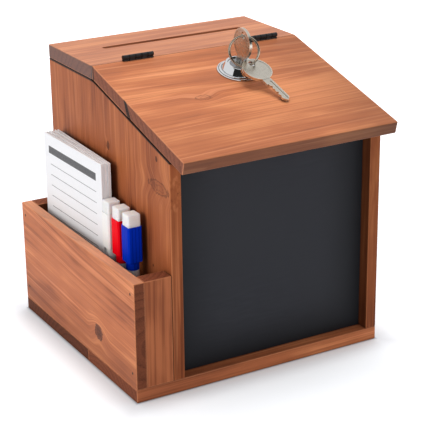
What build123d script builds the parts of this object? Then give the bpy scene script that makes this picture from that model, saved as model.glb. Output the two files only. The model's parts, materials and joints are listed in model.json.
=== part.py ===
import os
from math import asin, cos, radians, sin, tan

from build123d import *

# A suggestion box with a slanted, locking lid and a side pocket for cards and markers.
# X runs to the right, -Y is the front with the writing board, and +Z is up. The origin is the
# centre of the base's underside. All sizes are in millimetres.

# Driving dimensions of the wooden case
base_width = 223.0
base_depth = 210.0
base_thickness = 11.0
base_front_board_depth = 86.0
pocket_reach = 32.5
side_thickness = 9.5
back_thickness = 8.0
overall_height = 233.5
top_thickness = 11.5
top_depth = 84.0
board_ease = 0.4

# Driving dimensions of the lid
lid_angle = 14.7
lid_length = 153.0
lid_thickness = 10.5
lid_seam = 0.7
lid_rest_gap = 0.5
lid_rear_gap = 1.5
lid_joint_distance = 57.8
lid_joint_slant = 9.0
lid_joint_opening = 1.3
lid_edge_round = 1.2
dowel_diameter = 6.0
dowel_length = 28.0
dowel_spacing = 62.0
dowel_count = 3
dowel_hole_spare = 0.5

# Driving dimensions of the posting slot and the writing board
slot_length = 132.6
slot_width = 6.0
slot_offset_x = 3.2
slot_from_rear = 37.2
chalkboard_thickness = 5.0
chalkboard_recess = 11.0
chalkboard_top_gap = 1.6

# Driving dimensions of the pocket
pocket_height = 99.0
pocket_panel_thickness = 9.0
pocket_block_thickness = 13.0
pocket_block_gap = 0.4
brad_head_radius = 1.1
brad_head_height = 0.8
brad_shank_radius = 0.7
brad_length = 24.0
brad_end_inset = 12.0
brad_top_inset = 10.0

# Driving dimensions of the butt hinges
hinge_length = 27.5
hinge_left_inset = 27.0
hinge_right_inset = 18.5
hinge_pin_rise = 2.7
hinge_pin_radius = 1.0
hinge_knuckle_radius = 1.8
hinge_knuckle_count = 5
hinge_knuckle_gap = 0.15
hinge_leaf_thickness = 1.0
hinge_leaf_depth = 9.5
hinge_leaf_gap = 0.05
hinge_screw_spacing = 15.0
hinge_screw_depth = 5.4

# Driving dimensions of the small countersunk screws
screw_head_radius = 2.2
screw_head_height = 1.0
screw_shank_radius = 1.1
screw_length = 9.0
screw_point_length = 2.0

# Driving dimensions of the cam lock
lock_offset_x = 15.25
lock_from_seam = 42.5
collar_radius = 18.0
collar_lip_height = 1.0
collar_step_radius = 16.8
collar_step_height = 1.8
collar_cone_base_radius = 15.6
collar_cone_top_radius = 12.1
collar_height = 7.5
collar_rim_round = 0.6
housing_head_radius = 10.0
housing_head_height = 1.2
housing_head_sink = 1.1
housing_barrel_radius = 9.1
housing_below_lid = 10.0
nut_across_flats = 24.0
nut_height = 4.0
plug_radius = 7.5
plug_head_radius = 8.4
plug_head_height = 0.9
cam_length = 24.0
cam_hub_radius = 8.0
cam_tip_radius = 6.0
cam_thickness = 1.5
cam_clearance = 0.5
cam_square = 6.0
cam_washer_radius = 5.5
cam_washer_thickness = 0.8
cam_screw_radius = 2.0
cam_screw_head_radius = 3.6
cam_screw_head_height = 2.4
cam_screw_length = 9.0

# Driving dimensions of the rail and plate that the cam hooks under
rail_from_seam = 60.0
rail_width = 15.0
rail_thickness = 6.6
strike_length = 34.0
strike_width = 13.0
strike_thickness = 1.0
strike_shift = 5.0
strike_screw_spacing = 27.0

# Driving dimensions of the keys and the split ring
key_thickness = 1.9
key_rim_height = 0.2
key_rim_width = 1.3
key_bow_radius = 12.5
key_hole_radius = 2.9
key_hole_edge = 2.3
key_neck_length = 5.7
key_neck_shoulder = 1.3
key_blade_width = 6.6
key_blade_length = 20.5
key_cut_depth = 1.5
key_cut_count = 4
key_groove_width = 1.6
key_groove_depth = 0.45
ring_mean_radius = 11.92
ring_wire_radius = 0.65
ring_turn_offset = 0.42
ring_normal = (0.652, 0.685, -0.325)
ring_hang = (-0.91, -4.58, -11.851)
spare_hang = (3.347, -7.804, -8.39)
spare_turn = 11.7
spare_tip_height = 1.78

# Driving dimensions of the cards
card_height = 154.0
card_thickness = 1.15
card_count = 6
card_splay = 0.3
card_fan_angle = 2.8
card_shelf_offset = 9.0
card_front_gap = 0.8
card_rear_gap = 6.6

# Driving dimensions of the markers
marker_colours = ("blue", "red", "white")
marker_first_inset = 45.0
marker_spacing = 17.2
marker_shelf_offset = 13.3
marker_radius = 5.2
marker_barrel_length = 80.2
marker_neck_radius = 4.0
marker_neck_length = 8.8
marker_cone_length = 4.0
marker_cone_radius = 2.4
nib_radius = 1.5
nib_length = 8.0
nib_reach = 5.0
nib_room = 1.0
cap_width = 12.4
cap_corner = 1.3
cap_square_height = 29.0
cap_taper_height = 1.6
cap_collar_height = 5.2
eraser_width = 10.8
eraser_height = 10.0
eraser_seat = 1.5
eraser_round = 1.2

# Clearances
running_clearance = 0.08
static_clearance = 0.05
fit_clearance = 0.15
hinge_relief = 0.25
mortise_clearance = 0.15
keyway_clearance = 0.15
bore_clearance = 0.2
marker_lid_clearance = 0.3

# Sizes and places worked out from the driving dimensions
left_x = -base_width / 2
right_x = base_width / 2
front_y = -base_depth / 2
rear_y = base_depth / 2
case_left_x = left_x + pocket_reach
case_width = right_x - case_left_x
inner_left_x = case_left_x + side_thickness
inner_right_x = right_x - side_thickness
inner_width = inner_right_x - inner_left_x
inner_mid_x = (inner_left_x + inner_right_x) / 2
seam_y = rear_y - top_depth
side_height = overall_height - top_thickness
slope = radians(lid_angle)
lid_drop = lid_thickness / cos(slope)
half_seam = lid_seam / 2
shelf_left_x = left_x + pocket_panel_thickness
pivot_z = overall_height + hinge_pin_rise
leaf_bottom_z = overall_height - hinge_leaf_depth
collar_seat = collar_height - housing_head_sink - housing_head_height
housing_face = collar_height - housing_head_sink
housing_end = -lid_thickness - housing_below_lid
cam_top = housing_end - cam_clearance
cam_bottom = cam_top - cam_thickness
rail_bottom = housing_end - fit_clearance + strike_thickness

x_axis = Vector(1, 0, 0)
up_slope = Vector(0, cos(slope), sin(slope))
lid_normal = Vector(0, -sin(slope), cos(slope))
lid_origin = Vector(0, seam_y, overall_height)
lock_x = (case_left_x + right_x) / 2 + lock_offset_x
lock_origin = lid_origin + x_axis * lock_x - up_slope * lock_from_seam
lock_plane = Plane(origin=lock_origin, x_dir=x_axis, z_dir=lid_normal)
lock_axis = Axis(lock_origin, lid_normal)
lock_section = Plane(origin=lock_origin, x_dir=x_axis, z_dir=-up_slope)


def lid_top_z(y):
    """Height of the lid's upper surface at y."""
    return overall_height - (seam_y - y) * tan(slope)


def save(piece, name):
    """Label a finished piece and write it under its own name."""
    piece.part.label = name
    export_step(piece.part, f"parts/{name}.step")


def screw_on(plane, length=screw_length, spare=0.0):
    """A countersunk wood screw whose head is flush with the plane and points against its normal."""
    side = Plane(origin=plane.origin, x_dir=plane.x_dir, z_dir=-plane.y_dir)
    head = screw_head_radius + spare
    shank = screw_shank_radius + spare
    with BuildPart() as screw:
        with BuildSketch(side):
            with BuildLine():
                Polyline(
                    (0, 0), (head, 0), (shank, -screw_head_height),
                    (shank, -length + screw_point_length), (0, -length - spare), close=True,
                )
            make_face()
        revolve(axis=Axis(plane.origin, plane.z_dir))
    return screw.part


os.makedirs("parts", exist_ok=True)

# Base: two boards glued edge to edge under the whole case and the pocket
base_joint_y = front_y + base_front_board_depth
with BuildPart() as base_front_board:
    with BuildSketch(Plane.XY):
        with Locations((0, (front_y + base_joint_y) / 2)):
            Rectangle(base_width, base_joint_y - front_y)
    extrude(amount=base_thickness)
    chamfer(base_front_board.edges(), board_ease)
save(base_front_board, "base_front_board")

with BuildPart() as base_rear_board:
    with BuildSketch(Plane.XY):
        with Locations((0, (base_joint_y + rear_y) / 2)):
            Rectangle(base_width, rear_y - base_joint_y)
    extrude(amount=base_thickness)
    chamfer(base_rear_board.edges(), board_ease)
save(base_rear_board, "base_rear_board")

# Side panels: upright boards whose tops follow the flat top and the slanted lid
side_rear_z = lid_top_z(seam_y) - lid_drop - lid_rear_gap
side_front_z = lid_top_z(front_y) - lid_drop - lid_rest_gap
slant_rate = (side_rear_z - side_front_z) / (seam_y - front_y)
kink_y = seam_y + (side_height - side_rear_z) / slant_rate
for name, outer_x in (("left_side_panel", case_left_x), ("right_side_panel", inner_right_x)):
    with BuildPart() as side_panel:
        with BuildSketch(Plane.YZ.offset(outer_x)):
            with BuildLine():
                Polyline(
                    (front_y, base_thickness), (rear_y, base_thickness), (rear_y, side_height),
                    (kink_y, side_height), (front_y, side_front_z), close=True,
                )
            make_face()
        extrude(amount=side_thickness)
        chamfer(side_panel.edges(), board_ease)
    save(side_panel, name)

# Back panel: stands between the side panels, flush with their rear edges
with BuildPart() as back_panel:
    with BuildSketch(Plane.XY.offset(base_thickness)):
        with Locations((inner_mid_x, rear_y - back_thickness / 2)):
            Rectangle(inner_width, back_thickness)
    extrude(amount=side_height - base_thickness)
save(back_panel, "back_panel")

# Writing board: a thin blackboard set back between the side panels
chalkboard_y = front_y + chalkboard_recess
chalkboard_top_z = lid_top_z(chalkboard_y) - lid_drop - chalkboard_top_gap
with BuildPart() as chalkboard_panel:
    with BuildSketch(Plane.XY.offset(base_thickness)):
        with Locations((inner_mid_x, chalkboard_y + chalkboard_thickness / 2)):
            Rectangle(inner_width, chalkboard_thickness)
    extrude(amount=chalkboard_top_z - base_thickness)
save(chalkboard_panel, "chalkboard_panel")

# Hinge places along the seam, from the outer ends of the case
hinge_centres = (
    ("left", case_left_x + hinge_left_inset + hinge_length / 2),
    ("right", right_x - hinge_right_inset - hinge_length / 2),
)
leaf_far = hinge_leaf_gap + hinge_leaf_thickness
screw_z = overall_height - hinge_screw_depth


def hinge_screw_planes(side):
    """Planes of the screw heads on one side of the seam: +1 for the top board, -1 for the lid."""
    planes = []
    for _, centre in hinge_centres:
        for step in (-0.5, 0.5):
            head = (centre + step * hinge_screw_spacing, seam_y + side * hinge_leaf_gap, screw_z)
            planes.append(Plane(origin=head, x_dir=x_axis, z_dir=(0, -side, 0)))
    return planes


def cut_hinge_seats(side):
    """Cut the leaf mortises and the screw holes of both hinges into the board being built."""
    depth = leaf_far + static_clearance
    for _, centre in hinge_centres:
        mortise_z = (leaf_bottom_z - mortise_clearance + pivot_z) / 2
        with Locations((centre, seam_y + side * depth / 2, mortise_z)):
            Box(
                hinge_length + 2 * mortise_clearance, depth,
                pivot_z - leaf_bottom_z + mortise_clearance, mode=Mode.SUBTRACT,
            )
    for plane in hinge_screw_planes(side):
        add(screw_on(plane, spare=static_clearance), mode=Mode.SUBTRACT)


# Flat top board with the posting slot
slot_x = (case_left_x + right_x) / 2 + slot_offset_x
slot_y = rear_y - slot_from_rear
with BuildPart() as top_board:
    with BuildSketch(Plane.XY.offset(side_height)):
        with Locations(((case_left_x + right_x) / 2, (seam_y + half_seam + rear_y) / 2)):
            Rectangle(case_width, top_depth - half_seam)
    extrude(amount=top_thickness)
    rear_edges = top_board.edges().group_by(Axis.Y)[-1]
    fillet(rear_edges.filter_by(Axis.X), lid_edge_round)
    chamfer(top_board.faces().sort_by(Axis.X)[0].edges(), board_ease)
    chamfer(top_board.faces().sort_by(Axis.X)[-1].edges(), board_ease)
    with BuildSketch(Plane.XY.offset(overall_height)):
        with Locations((slot_x, slot_y)):
            SlotOverall(slot_length, slot_width)
    extrude(amount=-top_thickness, mode=Mode.SUBTRACT)
    cut_hinge_seats(1)
save(top_board, "top_board")

# Pocket: a long outer panel and two end blocks on the same base
with BuildPart() as brad:
    with BuildSketch(Plane.XZ):
        with BuildLine():
            Polyline(
                (0, 0), (brad_head_radius, 0), (brad_head_radius, -brad_head_height),
                (brad_shank_radius, -brad_head_height), (brad_shank_radius, -brad_length),
                (0, -brad_length), close=True,
            )
        make_face()
    revolve(axis=Axis.Z)
brad_places = [
    Location(Plane(origin=(left_x, y, z), x_dir=(0, 1, 0), z_dir=(-1, 0, 0)))
    for y in (front_y + pocket_block_thickness / 2, rear_y - pocket_block_thickness / 2)
    for z in (base_thickness + brad_end_inset, pocket_height - brad_top_inset)
]


def cut_brad_holes():
    """Cut the brads' holes into the pocket board being built."""
    with Locations(*brad_places):
        Cylinder(
            brad_shank_radius + static_clearance, brad_length + static_clearance,
            align=(Align.CENTER, Align.CENTER, Align.MAX), mode=Mode.SUBTRACT,
        )
        Cylinder(
            brad_head_radius + static_clearance, brad_head_height + static_clearance,
            align=(Align.CENTER, Align.CENTER, Align.MAX), mode=Mode.SUBTRACT,
        )


with BuildPart() as pocket_panel:
    with BuildSketch(Plane.XY.offset(base_thickness)):
        with Locations((left_x + pocket_panel_thickness / 2, 0)):
            Rectangle(pocket_panel_thickness, base_depth)
    extrude(amount=pocket_height - base_thickness)
    chamfer(pocket_panel.edges(), board_ease)
    cut_brad_holes()
save(pocket_panel, "pocket_panel")

block_width = pocket_reach - pocket_panel_thickness - pocket_block_gap
for name, block_y in (
    ("pocket_front_block", front_y + pocket_block_thickness / 2),
    ("pocket_rear_block", rear_y - pocket_block_thickness / 2),
):
    with BuildPart() as block:
        with BuildSketch(Plane.XY.offset(base_thickness)):
            with Locations((shelf_left_x + block_width / 2, block_y)):
                Rectangle(block_width, pocket_block_thickness)
        extrude(amount=pocket_height - base_thickness)
        chamfer(block.edges(), board_ease)
        cut_brad_holes()
    save(block, name)

with BuildPart() as pocket_brads:
    for place in brad_places:
        add(brad.part.moved(place))
save(pocket_brads, "pocket_brads")

# Lid: two boards joined by dowels, with an open vee in the underside of the joint
lid_rear_y = seam_y - half_seam
lid_front_y = seam_y - lid_length * cos(slope)
lid_under = lid_normal * -lid_thickness


def lid_point(distance, depth=0.0):
    """Y and Z of a point on the lid, from its distance down the slope and its depth."""
    point = lid_origin - up_slope * distance - lid_normal * depth
    return point.Y, point.Z


dowel_plane = Plane(
    origin=lid_origin + x_axis * (case_left_x + right_x) / 2 - up_slope * lid_joint_distance
    + lid_under / 2,
    x_dir=x_axis, z_dir=-up_slope,
)


def cut_dowel_holes():
    """Drill the dowel holes into the lid board being built."""
    with Locations(dowel_plane):
        with GridLocations(dowel_spacing, dowel_spacing, dowel_count, 1):
            Cylinder(
                dowel_diameter / 2 + static_clearance, dowel_length + 2 * dowel_hole_spare,
                mode=Mode.SUBTRACT,
            )


with BuildPart() as lid_upper_board:
    with BuildSketch(Plane.YZ.offset(case_left_x)):
        with BuildLine():
            Polyline(
                (lid_rear_y, lid_top_z(lid_rear_y)),
                lid_point(lid_joint_distance),
                lid_point(lid_joint_distance + lid_joint_slant, lid_thickness),
                (lid_rear_y, lid_top_z(lid_rear_y) - lid_drop), close=True,
            )
        make_face()
    extrude(amount=case_width)
    for end in (0, -1):
        end_edges = lid_upper_board.faces().sort_by(Axis.X)[end].edges()
        chamfer(end_edges.filter_by(lambda edge: abs(edge.center().Z - lid_top_z(edge.center().Y))
                                    < lid_thickness / 4), board_ease)
    cut_dowel_holes()
    with Locations(lock_plane):
        Cylinder(housing_barrel_radius + bore_clearance, 3 * lid_thickness, mode=Mode.SUBTRACT)
    cut_hinge_seats(-1)
save(lid_upper_board, "lid_upper_board")

with BuildPart() as lid_lower_board:
    with BuildSketch(Plane.YZ.offset(case_left_x)):
        with BuildLine():
            Polyline(
                lid_point(lid_joint_distance),
                lid_point(lid_length),
                lid_point(lid_length, lid_thickness),
                lid_point(
                    lid_joint_distance + lid_joint_slant + lid_joint_opening, lid_thickness
                ), close=True,
            )
        make_face()
    extrude(amount=case_width)
    fillet(lid_lower_board.edges().filter_by(Axis.X).sort_by(Axis.Y)[:2], lid_edge_round)
    for end in (0, -1):
        end_edges = lid_lower_board.faces().sort_by(Axis.X)[end].edges()
        chamfer(end_edges.filter_by(lambda edge: abs(edge.center().Z - lid_top_z(edge.center().Y))
                                    < lid_thickness / 4), board_ease)
    cut_dowel_holes()
save(lid_lower_board, "lid_lower_board")

with BuildPart() as lid_dowels:
    with Locations(dowel_plane):
        with GridLocations(dowel_spacing, dowel_spacing, dowel_count, 1):
            Cylinder(dowel_diameter / 2, dowel_length)
save(lid_dowels, "lid_dowels")

# Butt hinges: knuckles stand on the surface and the leaves go down into the seam
knuckle_pitch = hinge_length / hinge_knuckle_count
knuckle_length = knuckle_pitch - hinge_knuckle_gap
plate_top_z = pivot_z - hinge_knuckle_radius - hinge_relief


def hinge_leaf(centre, side):
    """One leaf: side is +1 for the top board's leaf and -1 for the lid's."""
    first = 0 if side > 0 else 1
    start_x = centre - hinge_length / 2
    plate_y = seam_y + side * (hinge_leaf_gap + hinge_leaf_thickness / 2)
    with BuildPart() as leaf:
        with BuildSketch(Plane.YZ.offset(start_x)):
            with Locations((plate_y, (leaf_bottom_z + plate_top_z) / 2)):
                Rectangle(hinge_leaf_thickness, plate_top_z - leaf_bottom_z)
        extrude(amount=hinge_length)
        for index in range(first, hinge_knuckle_count, 2):
            knuckle_x = start_x + index * knuckle_pitch + hinge_knuckle_gap / 2
            with BuildSketch(Plane.YZ.offset(knuckle_x)):
                with Locations((seam_y, pivot_z)):
                    Circle(hinge_knuckle_radius)
                with Locations((plate_y, (plate_top_z + pivot_z) / 2)):
                    Rectangle(hinge_leaf_thickness, pivot_z - plate_top_z)
            extrude(amount=knuckle_length)
        with BuildSketch(Plane.YZ.offset(start_x)):
            with Locations((seam_y, pivot_z)):
                Circle(hinge_pin_radius + running_clearance)
        extrude(amount=hinge_length, mode=Mode.SUBTRACT)
        for plane in hinge_screw_planes(side):
            add(screw_on(plane, spare=static_clearance), mode=Mode.SUBTRACT)
    return leaf


for name, centre in hinge_centres:
    save(hinge_leaf(centre, 1), f"{name}_hinge_fixed_leaf")
    save(hinge_leaf(centre, -1), f"{name}_hinge_moving_leaf")
    with BuildPart() as hinge_pin:
        with BuildSketch(Plane.YZ.offset(centre - hinge_length / 2)):
            with Locations((seam_y, pivot_z)):
                Circle(hinge_pin_radius)
        extrude(amount=hinge_length)
    save(hinge_pin, f"{name}_hinge_pin")

for name, side in (("hinge_screws_top", 1), ("hinge_screws_lid", -1)):
    with BuildPart() as hinge_screws:
        for plane in hinge_screw_planes(side):
            add(screw_on(plane))
    save(hinge_screws, name)

# Cam lock: trim collar, housing and nut on the lid
with BuildPart() as lock_trim_collar:
    with BuildSketch(lock_section):
        with BuildLine():
            Polyline(
                (housing_barrel_radius + bore_clearance, 0), (collar_radius, 0),
                (collar_radius, collar_lip_height), (collar_step_radius, collar_lip_height),
                (collar_step_radius, collar_step_height),
                (collar_cone_base_radius, collar_step_height),
                (collar_cone_top_radius, collar_height),
                (housing_head_radius + fit_clearance, collar_height),
                (housing_head_radius + fit_clearance, collar_seat),
                (housing_barrel_radius + bore_clearance, collar_seat), close=True,
            )
        make_face()
    revolve(axis=lock_axis)
    rim_edges = lock_trim_collar.edges().filter_by(GeomType.CIRCLE)
    rim_edges = rim_edges.sort_by(lambda edge: (edge.arc_center - lock_origin).dot(lid_normal))
    fillet(rim_edges[-2:], collar_rim_round)
save(lock_trim_collar, "lock_trim_collar")

plug_bore_radius = plug_radius + running_clearance
head_bore_radius = plug_head_radius + running_clearance
plug_seat = housing_face - plug_head_height
with BuildPart() as lock_housing:
    with BuildSketch(lock_section):
        with BuildLine():
            Polyline(
                (plug_bore_radius, housing_end), (housing_barrel_radius, housing_end),
                (housing_barrel_radius, collar_seat), (housing_head_radius, collar_seat),
                (housing_head_radius, housing_face), (head_bore_radius, housing_face),
                (head_bore_radius, plug_seat), (plug_bore_radius, plug_seat), close=True,
            )
        make_face()
    revolve(axis=lock_axis)
save(lock_housing, "lock_housing")

with BuildPart() as lock_nut:
    with BuildSketch(lock_plane.offset(-lid_thickness - nut_height)):
        RegularPolygon(nut_across_flats / 2, 6, major_radius=False)
        Circle(housing_barrel_radius + static_clearance, mode=Mode.SUBTRACT)
    extrude(amount=nut_height)
save(lock_nut, "lock_nut")

# Turning plug with its keyway, and the cam that it carries
with BuildPart() as lock_plug:
    with BuildSketch(lock_section):
        with BuildLine():
            Polyline(
                (0, cam_top), (plug_radius, cam_top), (plug_radius, plug_seat),
                (plug_head_radius, plug_seat), (plug_head_radius, housing_face),
                (0, housing_face), close=True,
            )
        make_face()
    revolve(axis=lock_axis)
    with BuildSketch(lock_plane.offset(cam_top)):
        Rectangle(cam_square, cam_square)
    extrude(amount=-(cam_thickness - fit_clearance))
    with BuildSketch(lock_plane.offset(housing_face)):
        Rectangle(key_thickness + 2 * keyway_clearance, key_blade_width + 2 * keyway_clearance)
    extrude(amount=-key_blade_length - fit_clearance, mode=Mode.SUBTRACT)
    with Locations(lock_plane.offset(cam_bottom)):
        Cylinder(
            cam_screw_radius + static_clearance, cam_screw_length - cam_washer_thickness + fit_clearance,
            align=(Align.CENTER, Align.CENTER, Align.MIN), mode=Mode.SUBTRACT,
        )
save(lock_plug, "lock_plug")

with BuildPart() as lock_cam:
    with BuildSketch(lock_plane.offset(cam_bottom)):
        Circle(cam_hub_radius)
        with Locations((cam_length, 0)):
            Circle(cam_tip_radius)
        make_hull()
        Rectangle(cam_square + 2 * static_clearance, cam_square + 2 * static_clearance,
                  mode=Mode.SUBTRACT)
    extrude(amount=cam_thickness)
save(lock_cam, "lock_cam")

washer_bottom = cam_bottom - cam_washer_thickness
with BuildPart() as cam_washer:
    with BuildSketch(lock_plane.offset(washer_bottom)):
        Circle(cam_washer_radius)
        Circle(cam_screw_radius + static_clearance, mode=Mode.SUBTRACT)
    extrude(amount=cam_washer_thickness)
save(cam_washer, "cam_washer")

with BuildPart() as cam_screw:
    with BuildSketch(lock_section):
        with BuildLine():
            Polyline(
                (0, washer_bottom - cam_screw_head_height),
                (cam_screw_head_radius, washer_bottom - cam_screw_head_height),
                (cam_screw_head_radius, washer_bottom), (cam_screw_radius, washer_bottom),
                (cam_screw_radius, washer_bottom + cam_screw_length),
                (0, washer_bottom + cam_screw_length), close=True,
            )
        make_face()
    revolve(axis=lock_axis)
save(cam_screw, "cam_screw")

# Cross rail between the side panels, with the steel plate that the locked cam slides under
rail_plane = Plane(
    origin=lid_origin + x_axis * inner_mid_x - up_slope * (rail_from_seam + rail_width / 2)
    + lid_normal * rail_bottom,
    x_dir=x_axis, z_dir=lid_normal,
)
strike_x = lock_x + strike_shift
strike_plane = Plane(
    origin=rail_plane.origin + x_axis * (strike_x - inner_mid_x) - lid_normal * strike_thickness,
    x_dir=x_axis, z_dir=lid_normal,
)
strike_screw_planes = [
    Plane(
        origin=strike_plane.origin + x_axis * step * strike_screw_spacing,
        x_dir=x_axis, z_dir=-lid_normal,
    )
    for step in (-0.5, 0.5)
]
strike_screw_length = rail_thickness
with BuildPart() as lock_rail:
    with BuildSketch(rail_plane):
        Rectangle(inner_width, rail_width)
    extrude(amount=rail_thickness)
    for plane in strike_screw_planes:
        add(screw_on(plane, strike_screw_length, static_clearance), mode=Mode.SUBTRACT)
save(lock_rail, "lock_rail")

with BuildPart() as strike_plate:
    with BuildSketch(strike_plane):
        RectangleRounded(strike_length, strike_width, strike_width / 6)
    extrude(amount=strike_thickness)
    for plane in strike_screw_planes:
        add(screw_on(plane, strike_screw_length, static_clearance), mode=Mode.SUBTRACT)
save(strike_plate, "strike_plate")

with BuildPart() as strike_screws:
    for plane in strike_screw_planes:
        add(screw_on(plane, strike_screw_length))
save(strike_screws, "strike_screws")

# Keys: a round bow with a raised rim, a neck, and a grooved blade with cuts along one edge
hole_from_bow = key_bow_radius - key_hole_edge - key_hole_radius
shoulder = key_bow_radius + key_neck_length
tip = shoulder + key_blade_length
cut_pitch = key_blade_length / (key_cut_count + 1.5)
half_blade = key_blade_width / 2


def blade_outline():
    """Points of the blade's outline, with its cuts along the left edge."""
    points = [(-half_blade, -key_bow_radius)]
    for index in range(key_cut_count):
        start = -shoulder - cut_pitch * (index + 0.5)
        depth = key_cut_depth * (0.6 if index % 2 else 1.0)
        points += [
            (-half_blade, start),
            (-half_blade + depth, start - cut_pitch / 3),
            (-half_blade + depth, start - cut_pitch / 2),
            (-half_blade, start - cut_pitch * 5 / 6),
        ]
    points += [
        (-half_blade, -tip + half_blade * 0.8), (-half_blade * 0.3, -tip),
        (half_blade * 0.3, -tip), (half_blade, -tip + half_blade * 0.8),
        (half_blade, -key_bow_radius),
    ]
    return points


def key_on(plane):
    """A key lying in a plane whose origin is the bow's centre and whose Y axis points away from
    the tip."""
    mid = plane.offset(-key_thickness / 2)
    with BuildPart() as key:
        with BuildSketch(mid):
            Circle(key_bow_radius)
            with BuildLine():
                Polyline(*blade_outline(), close=True)
            make_face()
            with Locations((-key_neck_shoulder / 2, -shoulder / 2)):
                Rectangle(key_blade_width + key_neck_shoulder, shoulder)
        extrude(amount=key_thickness)
        with BuildSketch(plane.offset(-key_thickness / 2 - key_rim_height)):
            Circle(key_bow_radius)
        extrude(amount=key_thickness + 2 * key_rim_height)
        for side in (-1, 1):
            with BuildSketch(plane.offset(side * (key_thickness / 2 + key_rim_height))):
                Circle(key_bow_radius - key_rim_width)
            extrude(amount=-side * key_rim_height, mode=Mode.SUBTRACT)
            with BuildSketch(plane.offset(side * key_thickness / 2)):
                with Locations((half_blade / 4, -shoulder - key_blade_length / 2)):
                    SlotOverall(key_blade_length + key_neck_length, key_groove_width, rotation=90)
            extrude(amount=-side * key_groove_depth, mode=Mode.SUBTRACT)
        with BuildSketch(mid.offset(-key_rim_height)):
            with Locations((0, hole_from_bow)):
                Circle(key_hole_radius)
        extrude(amount=key_thickness + 2 * key_rim_height, mode=Mode.SUBTRACT)
    return key


bow_height = housing_face + fit_clearance + shoulder
key_plane = Plane(
    origin=lock_origin + lid_normal * bow_height, x_dir=-up_slope, z_dir=-x_axis,
)
save(key_on(key_plane), "key_in_lock")


def lid_vector(parts):
    """A vector given along X, up the slope and out of the lid."""
    return x_axis * parts[0] + up_slope * parts[1] + lid_normal * parts[2]


# Split ring through both keys, and the spare key that lies on the lid
first_hole = lock_origin + lid_normal * (bow_height + hole_from_bow)
ring_centre = first_hole + lid_vector(ring_hang)
ring_axis = lid_vector(ring_normal).normalized()
ring_across = ring_axis.cross(lid_normal).normalized()
ring_section = Plane(origin=ring_centre, x_dir=ring_across, z_dir=ring_axis.cross(ring_across))
with BuildPart() as key_ring:
    with BuildSketch(ring_section):
        with Locations((ring_mean_radius, -ring_turn_offset), (ring_mean_radius, ring_turn_offset)):
            Circle(ring_wire_radius)
    revolve(axis=Axis(ring_centre, ring_axis))
save(key_ring, "key_ring")

spare_hole = ring_centre + lid_vector(spare_hang)
hole_to_tip = hole_from_bow + tip
spare_drop = (spare_hole - lock_origin).dot(lid_normal) - spare_tip_height
spare_tilt = asin(spare_drop / hole_to_tip)
turn = radians(spare_turn)
spare_along = lid_vector((
    sin(turn) * cos(spare_tilt), -cos(turn) * cos(spare_tilt), -sin(spare_tilt),
))
spare_across = spare_along.cross(lid_normal).normalized()
spare_plane = Plane(
    origin=spare_hole + spare_along * hole_from_bow,
    x_dir=-spare_across, z_dir=spare_across.cross(spare_along),
)
save(key_on(spare_plane), "spare_key")

# Cards: a slightly fanned stack standing in the pocket behind the markers
marker_y = [front_y + marker_first_inset + index * marker_spacing
            for index in range(len(marker_colours))]
card_front_y = marker_y[-1] + cap_width / 2 + card_front_gap
card_width = rear_y - pocket_block_thickness - card_rear_gap - card_front_y
card_left_x = shelf_left_x + card_shelf_offset
card_top = base_thickness + card_height
with BuildPart() as card_stack:
    for index in range(card_count):
        foot = index * (card_thickness + card_splay / 2)
        head = index * (card_thickness + card_splay)
        fan = radians(card_fan_angle) * (index / (card_count - 1) - 0.5)
        card_end = Plane(
            origin=(card_left_x, card_front_y, 0), x_dir=(cos(fan), -sin(fan), 0),
            z_dir=(-sin(fan), -cos(fan), 0),
        )
        with BuildSketch(card_end):
            with BuildLine():
                Polyline(
                    (foot, base_thickness), (foot + card_thickness, base_thickness),
                    (head + card_thickness, card_top), (head, card_top), close=True,
                )
            make_face()
        extrude(amount=-card_width)
save(card_stack, "card_stack")

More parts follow.
